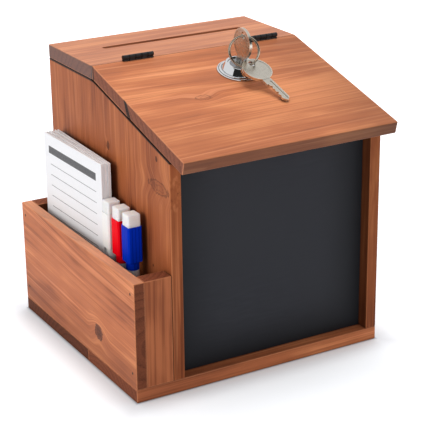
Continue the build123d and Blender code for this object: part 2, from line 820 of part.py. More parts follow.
# Markers: a barrel with a nib, under a square cap that holds a felt eraser
marker_x = shelf_left_x + marker_shelf_offset
barrel_top = base_thickness + marker_barrel_length
neck_top = barrel_top + marker_neck_length
cone_top = neck_top + marker_cone_length
cap_bottom = barrel_top + marker_lid_clearance
collar_top = cap_bottom + cap_collar_height
taper_top = collar_top + cap_taper_height
cap_top = taper_top + cap_square_height
for colour, y in zip(marker_colours, marker_y):
    upright = Plane(origin=(marker_x, y, 0), x_dir=x_axis, z_dir=(0, -1, 0))
    stem = Axis((marker_x, y, 0), (0, 0, 1))

    with BuildPart() as barrel:
        with BuildSketch(upright):
            with BuildLine():
                Polyline(
                    (0, base_thickness), (marker_radius, base_thickness),
                    (marker_radius, barrel_top), (marker_neck_radius, barrel_top),
                    (marker_neck_radius, neck_top), (marker_cone_radius, cone_top),
                    (nib_radius + static_clearance, cone_top),
                    (nib_radius + static_clearance, cone_top - nib_length + nib_reach),
                    (0, cone_top - nib_length + nib_reach), close=True,
                )
            make_face()
        revolve(axis=stem)
    save(barrel, f"{colour}_barrel")

    with BuildPart() as nib:
        with BuildSketch(upright):
            with BuildLine():
                nib_foot = cone_top - nib_length + nib_reach
                nib_shoulder = nib_foot + nib_length - nib_radius
                Polyline((0, nib_foot), (nib_radius, nib_foot), (nib_radius, nib_shoulder))
                RadiusArc((nib_radius, nib_shoulder), (0, nib_shoulder + nib_radius), -nib_radius)
                Line((0, nib_shoulder + nib_radius), (0, nib_foot))
            make_face()
        revolve(axis=stem)
    save(nib, f"{colour}_nib")

    with BuildPart() as cap:
        with BuildSketch(Plane.XY.offset(taper_top)):
            with Locations((marker_x, y)):
                outline = Rectangle(cap_width, cap_width)
            chamfer(outline.vertices(), cap_corner)
        extrude(amount=cap_square_height)
        with BuildSketch(Plane.XY.offset(taper_top)):
            with Locations((marker_x, y)):
                Circle(cap_width / 2)
        with BuildSketch(Plane.XY.offset(collar_top)):
            with Locations((marker_x, y)):
                Circle(marker_radius)
        loft()
        with BuildSketch(Plane.XY.offset(cap_bottom)):
            with Locations((marker_x, y)):
                Circle(marker_radius)
        extrude(amount=cap_collar_height)
        with BuildSketch(upright):
            with BuildLine():
                Polyline(
                    (0, cap_bottom), (marker_neck_radius + running_clearance, cap_bottom),
                    (marker_neck_radius + running_clearance, neck_top + fit_clearance),
                    (marker_cone_radius + bore_clearance, cone_top + fit_clearance),
                    (marker_cone_radius + bore_clearance, cone_top + nib_reach + nib_room),
                    (0, cone_top + nib_reach + nib_room), close=True,
                )
            make_face()
        revolve(axis=stem, mode=Mode.SUBTRACT)
        with BuildSketch(Plane.XY.offset(cap_top)):
            with Locations((marker_x, y)):
                Rectangle(eraser_width + 2 * static_clearance, eraser_width + 2 * static_clearance)
        extrude(amount=-eraser_seat, mode=Mode.SUBTRACT)
    save(cap, f"{colour}_cap")

    with BuildPart() as eraser:
        with BuildSketch(Plane.XY.offset(cap_top - eraser_seat)):
            with Locations((marker_x, y)):
                Rectangle(eraser_width, eraser_width)
        extrude(amount=eraser_height + eraser_seat)
        fillet(eraser.edges().filter_by(Axis.Z), eraser_round)
        fillet(eraser.faces().sort_by(Axis.Z)[-1].edges(), eraser_round * 0.8)
    save(eraser, f"{colour}_eraser")
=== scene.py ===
import json
import math

import bmesh
import bpy
from mathutils import Matrix, Vector


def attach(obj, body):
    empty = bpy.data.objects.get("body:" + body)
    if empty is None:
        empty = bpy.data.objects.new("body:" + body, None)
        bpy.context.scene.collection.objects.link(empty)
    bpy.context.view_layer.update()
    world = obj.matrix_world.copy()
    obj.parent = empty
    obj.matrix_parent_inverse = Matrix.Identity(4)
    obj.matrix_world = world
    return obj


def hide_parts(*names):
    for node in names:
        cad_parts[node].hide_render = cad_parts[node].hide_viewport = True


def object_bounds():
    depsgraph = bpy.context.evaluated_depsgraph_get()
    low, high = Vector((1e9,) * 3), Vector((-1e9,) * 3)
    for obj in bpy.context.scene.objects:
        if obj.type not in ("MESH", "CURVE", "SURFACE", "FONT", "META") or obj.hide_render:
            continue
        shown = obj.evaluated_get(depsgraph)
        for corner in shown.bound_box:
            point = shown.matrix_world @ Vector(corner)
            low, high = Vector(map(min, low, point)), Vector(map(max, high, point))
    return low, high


# The suggestion box, dressed for its render. Blender's own lengths are in metres. The tables of
# sizes below and the places inside the materials are in millimetres.

MM = 0.001
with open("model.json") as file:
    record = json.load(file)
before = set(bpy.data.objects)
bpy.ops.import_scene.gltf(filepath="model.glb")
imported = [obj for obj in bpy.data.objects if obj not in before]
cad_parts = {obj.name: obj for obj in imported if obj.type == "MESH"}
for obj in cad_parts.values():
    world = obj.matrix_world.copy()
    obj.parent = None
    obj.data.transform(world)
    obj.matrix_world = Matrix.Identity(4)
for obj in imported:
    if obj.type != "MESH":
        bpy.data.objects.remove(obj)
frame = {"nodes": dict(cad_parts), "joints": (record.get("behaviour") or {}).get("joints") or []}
nodes = frame["nodes"]
joints = {joint["name"]: joint for joint in frame["joints"]}
cad_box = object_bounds()

# Directions of the slanted lid and of the slanted joint between its boards, which faces each board
# from its own side, and the split ring's centre and axis
along_x, along_y, along_z = Vector((1, 0, 0)), Vector((0, 1, 0)), Vector((0, 0, 1))
world_axes = (along_x, along_y, along_z)
lid_normal = Vector(joints["key_pull"]["axis"])
upper_joint_face = Vector((0, -0.900, 0.437))
lower_joint_face = Vector((0, 0.868, -0.496))
ring_centre = Vector(joints["spare_key_lift"]["pos_m"])
ring_axis = Vector(joints["spare_key_lift"]["axis"])

# Camera of the photograph, in the object's frame, with its angles in degrees
camera_place = Vector((-0.55867, -1.00939, 0.53420))
camera_heading = 29.7874
camera_pitch = 20.6974
camera_roll = -0.7245
photo_focal_pixels = 1476.62
photo_pixels = 430
sensor_width = 36.0

# Stain colours of the pine, as linear RGB
PALE = (0.71, 0.268, 0.112)
MIDDLE = (0.50, 0.160, 0.066)
DEEP = (0.25, 0.068, 0.028)
END_GRAIN = (0.27, 0.080, 0.038)
SMUDGE = (0.30, 0.100, 0.052)
# A pale tan, for the lightened edges and for pale lines along the grain
PALE_TAN = (0.74, 0.30, 0.145)
# A whitish tint that some boards mix onto their long edges
WHITISH_TINT = (0.66, 0.37, 0.24)
KNOT_DARK = (0.055, 0.016, 0.008)
KNOT_HEART = (0.13, 0.038, 0.017)

# Noises of the wood: scales per millimetre along, across and into the board, the shift from the
# board's seed, detail and roughness
GRAIN_NOISES = {
    "slow": ((0.0036, 0.012, 0.012), 0.0, 2, 0.5),
    "ripple": ((0.012, 0.08, 0.08), 3.7, 3, 0.5),
    "rough": ((0.22, 0.30, 0.30), 0.0, 3, 0.6),
    "fibre": ((0.03, 1.5, 1.5), 0.0, 4, 0.65),
    "hair": ((0.005, 0.50, 0.50), 1.3, 3, 0.6),
    "glint": ((0.0035, 0.24, 0.24), 2.9, 1, 0.5),
    "streak": ((0.0022, 0.10, 0.10), 6.2, 3, 0.6),
    "patch": ((0.009, 0.034, 0.034), 8.1, 3, 0.6),
    "pore": ((0.08, 3.0, 3.0), 5.5, 1, 0.5),
    "speck": ((0.8, 0.8, 0.8), 0.0, 5, 0.7),
}

# Darkness of the late wood over one growth ring, as (place, level)
RING_RAMP = ((0.0, 0.05), (0.14, 0.0), (0.55, 0.25), (0.86, 1.0), (0.95, 0.7), (1.0, 0.05))

# Painted shade on the rims beside the gaps between boards: width of the dark part, of the whole,
# and its level
GAP_SHADE = (1.1, 2.4, 0.96)
END_GAP_SHADE = (1.3, 2.3, 1.0)

# Colours of the hinges' lacquer
LACQUER = (0.012, 0.012, 0.013)
SCUFFED_LACQUER = (0.05, 0.048, 0.046)

# Print on the cards, in millimetres: places below the top edge and along Y
card_top, card_bottom = 165.0, 11.0
bar_rows = (9.8, 16.2)
bar_span = (-8.7, 76.9)
first_line, line_pitch, line_count = 25.4, 9.3, 13
line_span = (-8.5, 74.5)
line_half_width = 0.27
PAPER = (0.93, 0.93, 0.945)
PRINT_GREY = (0.075, 0.073, 0.076)
LINE_GREY = (0.16, 0.16, 0.17)

# Cards, in millimetres: the first card's corner, the pitch of the stack at its foot and head, how
# much a card bows, the fan's whole angle in degrees, and how far each card's front and top are
# set back
card_count = 6
card_corner = (-93.5, -18.6)
card_depth = 104.0
card_foot_pitch, card_head_pitch = 1.30, 1.45
card_thickness = 1.15
card_bow = 0.22
card_fan = 2.8
card_trim = ((0, 0), (0.5, 0.4), (0.1, 0.1), (0.8, 0.6), (0.2, 0.2), (0.6, 0.3))

# Split ring, in millimetres, and the number of knuckles of a hinge
ring_mean_radius = 11.92
wire_radial_radius = 0.95
wire_axial_radius = 0.60
turn_offset = 0.62
knuckle_count = 5

# Profile of the lock's trim collar, as radius and height above the lid in millimetres
collar_profile = (
    (9.30, 0.0), (17.8, 0.0), (18.0, 0.25), (18.0, 0.7), (17.7, 1.0), (17.0, 1.0), (16.75, 0.7),
    (16.5, 0.8), (16.4, 1.45), (16.1, 1.8), (14.9, 1.8), (14.55, 1.4), (14.25, 1.5), (14.1, 1.9),
    (11.95, 6.9), (11.7, 7.3), (11.3, 7.5), (10.40, 7.5), (10.15, 7.25),
    (10.15, 5.20), (9.30, 5.20),
)


def rgba(colour, factor=1.0):
    return tuple(part * factor for part in colour) + (1,)


class Graph:
    """The node tree of one material, with short calls for the nodes that it needs."""

    def __init__(self, name):
        self.material = bpy.data.materials.new(name)
        self.material.use_nodes = True
        self.tree = self.material.node_tree
        self.shader = self.tree.nodes["Principled BSDF"]
        self.place = self.node("TexCoord").outputs["Object"]

    def put(self, socket, value):
        if isinstance(value, bpy.types.NodeSocket):
            self.tree.links.new(value, socket)
        else:
            socket.default_value = value

    def node(self, kind, *values, **settings):
        """A node with its settings made and its first inputs filled in order."""
        made = self.tree.nodes.new("ShaderNode" + kind)
        for name, value in settings.items():
            setattr(made, name, value)
        for socket, value in zip(made.inputs, values):
            self.put(socket, value)
        return made

    def set(self, **inputs):
        """Fill inputs of the shader, with _ for each space in their names."""
        for name, value in inputs.items():
            self.put(self.shader.inputs[name.replace("_", " ")], value)

    def fix(self, name, value):
        """Set a constant straight on the shader."""
        self.shader.inputs[name].default_value = value

    def math(self, operation, *values):
        return self.node("Math", *values, operation=operation).outputs[0]

    def add(self, *values):
        total = values[0]
        for value in values[1:]:
            total = self.math("ADD", total, value)
        return total

    def times(self, *values):
        product = values[0]
        for value in values[1:]:
            product = self.math("MULTIPLY", product, value)
        return product

    def dot(self, vector, axis):
        made = self.node("VectorMath", vector, tuple(axis), operation="DOT_PRODUCT")
        return made.outputs["Value"]

    def facing(self, axis):
        """How far the surface faces along an axis, in the object's frame."""
        return self.dot(self.node("TexCoord").outputs["Normal"], axis)

    def places(self, axes=world_axes, centres=(0, 0, 0)):
        """Places along three axes in millimetres, each from its own centre."""
        return [
            self.math("MULTIPLY_ADD", self.dot(self.place, axis), 1 / MM, -centre)
            for axis, centre in zip(axes, centres)
        ]

    def join(self, x, y, z):
        return self.node("CombineXYZ", x, y, z).outputs[0]

    def scaled(self, parts, scales, shift=0.0):
        """A vector of the three parts, each times its own scale."""
        return self.join(*[
            self.math("MULTIPLY_ADD", part, scale, shift) for part, scale in zip(parts, scales)
        ])

    def noise(self, vector, detail=2.0, roughness=0.5, distortion=0.0):
        made = self.node("TexNoise", vector)
        made.inputs["Scale"].default_value = 1.0
        made.inputs["Detail"].default_value = detail
        made.inputs["Roughness"].default_value = roughness
        made.inputs["Distortion"].default_value = distortion
        return made.outputs[0]

    def span(self, value, low, high, start=0.0, end=1.0):
        """Value eased from low and high to start and end."""
        made = self.node("MapRange", value, low, high, start, end, interpolation_type="SMOOTHSTEP")
        return made.outputs[0]

    def within(self, value, low, high, soft):
        """One between low and high, with soft edges."""
        rise = self.span(value, low - soft, low + soft)
        return self.times(rise, self.span(value, high - soft, high + soft, 1.0, 0.0))

    def mix(self, factor, first, second, blend="MIX"):
        return self.node("MixRGB", factor, first, second, blend_type=blend).outputs[0]

    def shade(self, colour, factor):
        """A colour times a grey factor."""
        return self.mix(1.0, colour, self.join(factor, factor, factor), "MULTIPLY")

    def ramp(self, value, *stops):
        made = self.node("ValToRGB", value)
        elements = made.color_ramp.elements
        while len(elements) < len(stops):
            elements.new(1.0)
        for element, (place, level) in zip(elements, stops):
            element.position = place
            element.color = (level, level, level, 1)
        return made.outputs[0]

    def painted_crevice_shade(self, reach_mm, least):
        """Painted shade in the narrow gaps and crevices between pieces, from an occlusion node,
        from one down to least.
        """
        hidden = self.node("AmbientOcclusion", samples=8)
        hidden.inputs["Distance"].default_value = reach_mm * MM
        return self.span(hidden.outputs["AO"], 0.25, 0.85, least, 1.0)

    def bump(self, height, strength, distance):
        made = self.node("Bump")
        self.put(made.inputs["Strength"], strength)
        self.put(made.inputs["Distance"], distance)
        self.put(made.inputs["Height"], height)
        self.put(self.shader.inputs["Normal"], made.outputs[0])


def reach(node, axis):
    """Lowest and highest place of a node's mesh along an axis, in millimetres."""
    places = [vertex.co.dot(axis) for vertex in nodes[node].data.vertices]
    return min(places) / MM, max(places) / MM


def give(target, graph):
    """Put a graph's material on a node or an object."""
    piece = nodes[target] if isinstance(target, str) else target
    piece.data.materials.clear()
    piece.data.materials.append(graph.material)


def soften(target, width, angle=60, segments=2):
    """Round the sharp edges of a node or an object."""
    piece = nodes[target] if isinstance(target, str) else target
    bevel = piece.modifiers.new("eased_edges", "BEVEL")
    bevel.width = width * MM
    bevel.segments = segments
    bevel.limit_method = "ANGLE"
    bevel.angle_limit = math.radians(angle)


class Board(Graph):
    """The stained pine of one board, made in steps, with its places along, across and into it."""

    def __init__(self, name, along, face, seed, tone):
        super().__init__("pine_" + name)
        self.name = name
        self.seed = seed
        self.tone = tone
        self.axes = (along, face.cross(along), face)
        spans = [reach(name, axis) for axis in self.axes]
        self.halves = [(high - low) / 2 for low, high in spans]
        self.parts = self.places(self.axes, [(low + high) / 2 for low, high in spans])

    def grain(self, kind, parts=None):
        """One of the wood's noises, over the board's own parts or other ones."""
        scales, shift, detail, roughness = GRAIN_NOISES[kind]
        vector = self.scaled(parts or self.parts, scales, self.seed + shift)
        return self.noise(vector, detail, roughness)

    def turned(self, facing):
        """One where the surface is turned far enough, and zero elsewhere."""
        return self.span(facing, 0.6, 0.9)

    def tint(self, share, factor):
        """Shade the colour by a factor where share is one."""
        self.colour = self.shade(self.colour, self.span(share, 0.0, 1.0, 1.0, factor))

    def knot(self, rough, knot_run, knot_width, size, darkness, tilt, stretch):
        """Distance from a knot in its own sizes, and how much it covers and outlines."""
        a = self.math("SUBTRACT", self.parts[0], knot_run)
        b = self.math("SUBTRACT", self.parts[1], knot_width)
        turn = math.radians(tilt)
        long_part = self.add(self.times(a, math.cos(turn)), self.times(b, math.sin(turn)))
        short_part = self.add(self.times(b, math.cos(turn)), self.times(a, -math.sin(turn)))
        far = self.math("SQRT", self.add(
            self.math("POWER", self.math("DIVIDE", long_part, size * stretch), 2),
            self.math("POWER", self.math("DIVIDE", short_part, size), 2),
        ))
        uneven = self.add(far, self.times(self.math("SUBTRACT", rough, 0.5), 1.3))
        cover = self.span(uneven, 0.75, 1.1, darkness, 0.0)
        outer = self.within(uneven, 0.93, 1.13, 0.12)
        inner = self.times(self.within(uneven, 0.42, 0.56, 0.10), 0.6)
        return far, cover, self.times(self.math("MAXIMUM", outer, inner), darkness ** 0.25)

    def grow(self, pith, spacing, lean, wander, knots):
        """Lay out the rings, the fibres and the knots, with the grain flowing round them."""
        run, width, depth = self.parts
        slow = self.grain("slow")
        self.ripple = self.grain("ripple")
        flow = self.add(self.math("MULTIPLY_ADD", run, -lean, width), self.times(slow, wander))
        self.cover, self.outline = 0.0, 0.0
        rough = self.grain("rough") if knots else None
        for knot in knots:
            far, cover, outline = self.knot(rough, *knot)
            flow = self.add(flow, self.span(far, 0.0, 3.6, knot[2] * 1.8, 0.0))
            self.cover = self.math("MAXIMUM", self.cover, cover)
            self.outline = self.math("MAXIMUM", self.outline, outline)

        side = self.math("SUBTRACT", flow, pith[0])
        deep = self.math("SUBTRACT", depth, pith[1])
        radius = self.math("SQRT", self.add(
            self.math("POWER", side, 2), self.math("POWER", deep, 2),
        ))
        radius = self.add(radius, self.times(self.ripple, 2.2))
        uneven = self.noise(self.join(self.times(radius, 0.06), self.seed, 0.0), detail=1)
        turns = self.add(self.math("DIVIDE", radius, spacing), self.times(uneven, 1.8))
        self.ring = self.ramp(self.math("FRACT", turns), *RING_RAMP)

        flowing = (run, flow, depth)
        self.fibre = self.grain("fibre", flowing)
        self.hair = self.grain("hair", flowing)
        self.glint = self.grain("glint", flowing)
        self.streak = self.grain("streak", flowing)
        self.patch = self.grain("patch")
        self.pores = self.span(self.grain("pore", flowing), 0.64, 0.76)

    def stain(self, contrast, rings):
        """Colour the wood from pale to deep, with smudges and with pale lines along the grain."""
        late = self.times(self.ring, self.span(self.hair, 0.3, 0.7, 0.35, 1.0), rings)
        dark = self.add(
            late,
            self.span(self.streak, 0.32, 0.68, 0.0, 0.36 * contrast),
            self.span(self.hair, 0.34, 0.68, 0.0, 0.30 * contrast),
            self.span(self.patch, 0.34, 0.70, -0.08, 0.50 * contrast),
            self.span(self.fibre, 0.25, 0.75, 0.08, -0.03),
        )
        pale, middle, deep = [rgba(colour, self.tone) for colour in (PALE, MIDDLE, DEEP)]
        colour = self.mix(self.span(dark, 0.0, 0.5), pale, middle)
        colour = self.mix(self.span(dark, 0.45, 1.15), colour, deep)
        smudge = self.times(
            self.span(self.patch, 0.56, 0.74), self.span(self.hair, 0.4, 0.6, 0.3, 1.0),
        )
        colour = self.mix(self.times(smudge, 0.45 * contrast), colour, rgba(SMUDGE, self.tone))
        thin_line = self.times(
            self.span(self.glint, 0.62, 0.67), self.span(self.glint, 0.70, 0.75, 1.0, 0.3),
        )
        colour = self.mix(self.times(thin_line, 0.35), colour, rgba(PALE_TAN, 1.15 * self.tone))
        unpored = self.math("SUBTRACT", 1.0, self.times(self.pores, 0.14))
        self.colour = self.shade(colour, unpored)

    def vary(self, bands, fades, knots):
        """Shade bands and fades of the board, and draw its knots."""
        for low, high, factor in bands:
            place = self.add(self.parts[1], self.times(self.ripple, 3.0))
            self.tint(self.within(place, low, high, 1.2), factor)
        for index, low, high, factor in fades:
            fade = self.span(self.parts[index], low, high, 1.0, factor)
            self.colour = self.shade(self.colour, fade)
        if knots:
            self.colour = self.mix(self.cover, self.colour, rgba(KNOT_HEART, self.tone))
            self.colour = self.mix(self.outline, self.colour, rgba(KNOT_DARK))

    def finish_sides(self, edge_light_and_shade, end_tone, inner_painted_shade, whitish_edge):
        """Paint light and shade on the long edges and shade on the inner side, tint the long edges
        whitish, and show end grain on the ends.
        """
        along, across, face = self.axes
        on_edge = self.turned(self.math("ABSOLUTE", self.facing(across)))
        # Painted light and shade on the long edges
        self.tint(on_edge, edge_light_and_shade)
        # A whitish tint mixed onto the long edges
        self.colour = self.mix(self.times(on_edge, whitish_edge), self.colour, rgba(WHITISH_TINT))
        # Painted shade on the inner side
        self.tint(self.turned(self.facing(-face)), inner_painted_shade)
        self.on_end = self.turned(self.math("ABSOLUTE", self.facing(along)))
        speck = self.span(self.grain("speck"), 0.3, 0.7, 0.8, 1.2)
        level = self.add(speck, self.times(self.ring, -0.3))
        self.colour = self.mix(
            self.on_end, self.colour, self.shade(rgba(END_GRAIN, end_tone), level),
        )

    def wear_and_highlight_edges(self):
        """Lighten the board's edges unevenly, as worn stain and as a painted highlight."""
        near = [
            self.math("SUBTRACT", half, self.math("ABSOLUTE", part))
            for part, half in zip(self.parts, self.halves)
        ]
        pairs = [self.math("MAXIMUM", near[i], near[j]) for i, j in ((0, 1), (1, 2), (0, 2))]
        corner = self.math("MINIMUM", self.math("MINIMUM", pairs[0], pairs[1]), pairs[2])
        frayed = self.add(corner, self.times(self.math("SUBTRACT", self.fibre, 0.5), 1.3))
        # Worn stain, and a painted highlight along the edges
        worn_and_highlit = self.times(self.span(frayed, 0.2, 1.0, 1.0, 0.0), 0.4)
        self.colour = self.mix(worn_and_highlit, self.colour, rgba(PALE_TAN, self.tone))

    def paint_gap_shade(self, axis, rim, *shares):
        """Paint shade on the rim at the board's far end along an axis, where it lies beside a gap.
        """
        dark_width, whole_width, level = rim
        place = self.times(self.dot(self.place, axis), 1 / MM)
        inward = self.math("SUBTRACT", reach(self.name, axis)[1], place)
        dark = self.times(self.span(inward, dark_width, whole_width, level, 0.0), *shares)
        self.colour = self.shade(self.colour, self.math("SUBTRACT", 1.0, dark))

    def close(self, crevice_shade_reach, warmth, shine):
        """Paint shade into the crevices, warm the colour, and give the surface its gloss and
        relief.
        """
        # Painted shade in the crevices, from an occlusion node
        colour = self.shade(self.colour, self.painted_crevice_shade(crevice_shade_reach, 0.22))
        warm = (1, 1 - 0.12 * warmth, 1 - 0.26 * warmth, 1)
        gloss = self.add(
            self.span(self.fibre, 0.2, 0.8, 0.44, 0.56), self.times(self.on_end, 0.15),
        )
        self.set(Base_Color=self.mix(1.0, colour, warm, "MULTIPLY"), Roughness=gloss)
        self.fix("Specular IOR Level", shine)
        relief = self.add(
            self.times(self.fibre, 0.6), self.times(self.ring, 0.35), self.times(self.pores, -0.5),
        )
        self.bump(relief, 0.3, 0.00016)


def wood(name, along, face, pith, spacing, seed, lean=0.0, knots=(), tone=1.0, contrast=1.0,
         rings=0.35, wander=8.0, edge_light_and_shade=1.0, end_tone=1.0, inner_painted_shade=1.0, shine=0.1,
         bands=(), fades=(), gaps=(), end_gaps=(), warmth=0.0, crevice_shade_reach=3.5, whitish_edge=0.0):
    """Stained pine on one board, its grain along one axis and its broad side along another.

    The rings are spacing apart round a pith at (across, depth) from the board's middle. They
    lean across by lean per length, and wander. A knot is (along, across, size, darkness, tilt,
    stretch). A band is (low, high, factor) across the board, and a fade is (part, low, high,
    factor) along one of the three parts. The tone shades the whole board and the end tone its
    ends. The edge tone paints light and shade on the long edges, the inner tone paints shade on
    the inner side, and a whitish tint can be mixed onto the long edges. Gaps are the axes at
    whose far end the board lies beside a gap, and end_gaps are those whose gaps show on the
    board's ends alone; painted shade darkens the rim beside them. Painted shade also darkens
    the crevices, as far as its reach."""
    board = Board(name, along, face, seed, tone)
    board.grow(pith, spacing, lean, wander, knots)
    board.stain(contrast, rings)
    board.vary(bands, fades, knots)
    board.finish_sides(edge_light_and_shade, end_tone, inner_painted_shade, whitish_edge)
    board.wear_and_highlight_edges()
    # Painted shade beside the gaps between boards
    for axis in gaps:
        beside = board.span(board.facing(axis), 0.80, 0.96, 1.0, 0.0)
        board.paint_gap_shade(axis, GAP_SHADE, beside)
    for axis in end_gaps:
        board.paint_gap_shade(axis, END_GAP_SHADE, board.on_end, 0.97)
    board.close(crevice_shade_reach, warmth, shine)
    give(name, board)
    soften(name, 0.5)


def black_board():
    """Matt board paint with faint wiped chalk clouds, and painted shade towards its sides and foot.
    """
    graph = Graph("black_board_paint")
    parts = graph.places((along_x, along_z, along_y))
    cloud = graph.noise(graph.scaled(parts, (0.012, 0.010, 0.0), 4.2), detail=3, roughness=0.6)
    wipe = graph.noise(graph.scaled(parts, (0.05, 0.35, 0.0), 1.1), detail=4, roughness=0.6)
    grain = graph.noise(graph.scaled(parts, (2.2, 2.2, 0.0), 9.4), detail=2)
    dust = graph.times(graph.span(cloud, 0.35, 0.7), graph.span(wipe, 0.25, 0.8, 0.4, 1.0))
    low_x, high_x = reach("chalkboard_panel", along_x)
    low_z = reach("chalkboard_panel", along_z)[0]
    # Painted shade: the paint darkens near the sides and the foot, and chalk clouds show only away
    # from them
    away_from_painted_shade = graph.times(
        graph.span(parts[0], low_x - 8, low_x + 46),
        graph.span(parts[0], high_x - 42, high_x, 1.0, 0.0),
        graph.span(parts[1], low_z, low_z + 40),
    )
    colour = graph.mix(away_from_painted_shade, (0.013, 0.014, 0.017, 1), (0.027, 0.028, 0.034, 1))
    colour = graph.mix(graph.times(dust, away_from_painted_shade, 0.4), colour, (0.055, 0.057, 0.068, 1))
    graph.set(Base_Color=colour, Roughness=graph.span(cloud, 0.3, 0.7, 0.62, 0.74))
    graph.fix("Specular IOR Level", 0.25)
    graph.bump(grain, 0.18, 0.00008)
    give("chalkboard_panel", graph)


def metal(name, colour, roughness, scratched=0.0, wear=0.0, rim=0.0):
    """A metal with fine scratches, uneven gloss, painted shade in its crevices and, with rim, a
    painted highlight on its edges.
    """
    graph = Graph(name)
    parts = graph.places()
    scratch = graph.noise(graph.scaled(parts, (3.0, 3.0, 3.0), 2.0), detail=3, roughness=0.6)
    blotch = graph.noise(graph.scaled(parts, (0.35, 0.35, 0.35), 6.0), detail=3)
    uneven = graph.span(blotch, 0.3, 0.7, roughness, roughness * 1.35)
    tinted = graph.mix(graph.span(blotch, 0.4, 0.7), rgba(colour), rgba(colour, 1 - 0.35 * wear))
    if rim:
        # A painted highlight: an inside occlusion finds the thin edges, which rim brightens
        rim_highlight_probe = graph.node("AmbientOcclusion", samples=24, inside=True)
        rim_highlight_probe.inputs["Distance"].default_value = 0.9 * MM
        tinted = graph.shade(tinted, graph.span(rim_highlight_probe.outputs["AO"], 0.35, 0.95, 1.0 + rim, 1.0))
    # Painted shade in the crevices
    graph.set(
        Base_Color=graph.shade(tinted, graph.painted_crevice_shade(1.6, 0.18)),
        Roughness=graph.add(uneven, graph.times(graph.math("SUBTRACT", scratch, 0.5), scratched)),
    )
    graph.fix("Metallic", 1.0)
    graph.bump(blotch, 0.1 + scratched, 0.00006)
    return graph


def lacquer(hinge):
    """Lacquered black steel, scuffed a little, with painted shade at the joints between the
    knuckles and a painted highlight along each knuckle's middle.
    """
    graph = Graph(hinge + "_lacquer")
    parts = graph.places()
    scuff = graph.noise(graph.scaled(parts, (0.8, 2.4, 2.4), 3.0), detail=4, roughness=0.7)
    low, high = reach(hinge + "_pin", along_x)
    pitch = (high - low) / knuckle_count
    phase = graph.math("FRACT", graph.math("DIVIDE", graph.math("SUBTRACT", parts[0], low), pitch))
    off_middle = graph.math("ABSOLUTE", graph.math("SUBTRACT", phase, 0.5))
    middle = graph.span(off_middle, 0.30, 0.5, 1.0, 0.0)
    colour = graph.mix(graph.span(scuff, 0.62, 0.78), rgba(LACQUER), rgba(SCUFFED_LACQUER))
    # Painted shade at the joints (times 0.1) and a painted highlight mid-knuckle (times 1.7)
    graph.set(
        Base_Color=graph.shade(colour, graph.span(middle, 0.0, 1.0, 0.1, 1.7)),
        Roughness=graph.add(graph.span(scuff, 0.3, 0.75, 0.34, 0.6), graph.times(middle, -0.06)),
    )
    graph.fix("Specular IOR Level", 0.35)
    graph.bump(graph.add(middle, graph.times(scuff, 0.2)), 0.5, 0.0004)
    return graph


def plastic(name, colour, roughness=0.3, subsurface=0.0, shine=0.3, rib_shade=0.0):
    """Moulded plastic with a faint orange-peel surface, fine scuffs and, for caps, dark lines
    painted as the shade of shallow rib grooves.
    """
    graph = Graph(name)
    parts = graph.places()
    peel = graph.noise(graph.scaled(parts, (0.9, 0.9, 0.5), 1.0), detail=2)
    scuff = graph.noise(graph.scaled(parts, (2.5, 2.5, 0.5), 5.0), detail=4, roughness=0.7)
    # Painted shade: dark lines where the grooves of the ribs would be
    phase = graph.math("FRACT", graph.math("DIVIDE", graph.add(parts[0], parts[1]), 2.9))
    painted_groove_shade = graph.times(graph.within(phase, 0.42, 0.58, 0.12), rib_shade)
    tinted = graph.shade(rgba(colour), graph.span(scuff, 0.4, 0.8, 0.97, 1.06))
    graph.set(
        Base_Color=graph.shade(tinted, graph.math("SUBTRACT", 1.0, painted_groove_shade)),
        Roughness=graph.span(scuff, 0.3, 0.8, roughness, roughness + 0.14),
    )
    graph.fix("Subsurface Weight", subsurface)
    graph.fix("Subsurface Scale", 0.002)
    graph.fix("Specular IOR Level", shine)
    graph.bump(peel, 0.2, 0.0001)
    return graph


def felt(name, colour):
    """Pressed felt: crossed short fibres, soft sheen and faint layers."""
    graph = Graph(name)
    parts = graph.places()
    fuzz = graph.noise(
        graph.scaled(parts, (3.2, 3.2, 3.2), 2.0), detail=5, roughness=0.8, distortion=0.6,
    )
    layer = graph.noise(graph.scaled(parts, (0.15, 0.15, 1.3), 7.0), detail=3)
    tone = graph.add(
        graph.span(fuzz, 0.3, 0.7, 0.96, 1.02), graph.span(layer, 0.35, 0.65, -0.03, 0.02),
    )
    graph.set(Base_Color=graph.shade(rgba(colour), tone), Roughness=0.95)
    graph.fix("Sheen Weight", 0.25)
    graph.fix("Sheen Roughness", 0.5)
    graph.fix("Subsurface Weight", 0.7)
    graph.fix("Subsurface Radius", (1.0, 0.85, 0.7))
    graph.fix("Subsurface Scale", 0.005)
    graph.bump(fuzz, 0.8, 0.0003)
    return graph


def fanned_cards(shape):
    """Thin cards that stand fanned in the pocket, each bowed a little."""
    steps = 10
    for index in range(card_count):
        fan = math.radians(card_fan * (index / (card_count - 1) - 0.5))
        outward = Vector((math.cos(fan), -math.sin(fan), 0))
        rearward = Vector((math.sin(fan), math.cos(fan), 0))
        front, drop = card_trim[index]
        loops = []
        for step in range(steps + 1):
            part = step / steps
            lean_out = index * (card_foot_pitch + (card_head_pitch - card_foot_pitch) * part)
            bow = card_bow * math.sin(math.pi * part) * (1 if index % 2 else -0.2)
            height = card_bottom + (card_top - drop - card_bottom) * part
            loop = []
            for depth, out in ((front, 0), (card_depth, 0), (card_depth, 1), (front, 1)):
                place = Vector((card_corner[0], card_corner[1], height)) + rearward * depth
                place += outward * (lean_out + bow + out * card_thickness)
                loop.append(shape.verts.new(place * MM))
            loops.append(loop)
        for first, second in zip(loops, loops[1:]):
            for corner in range(4):
                after = (corner + 1) % 4
                shape.faces.new((first[corner], first[after], second[after], second[corner]))
        shape.faces.new(loops[0])
        shape.faces.new(loops[-1])


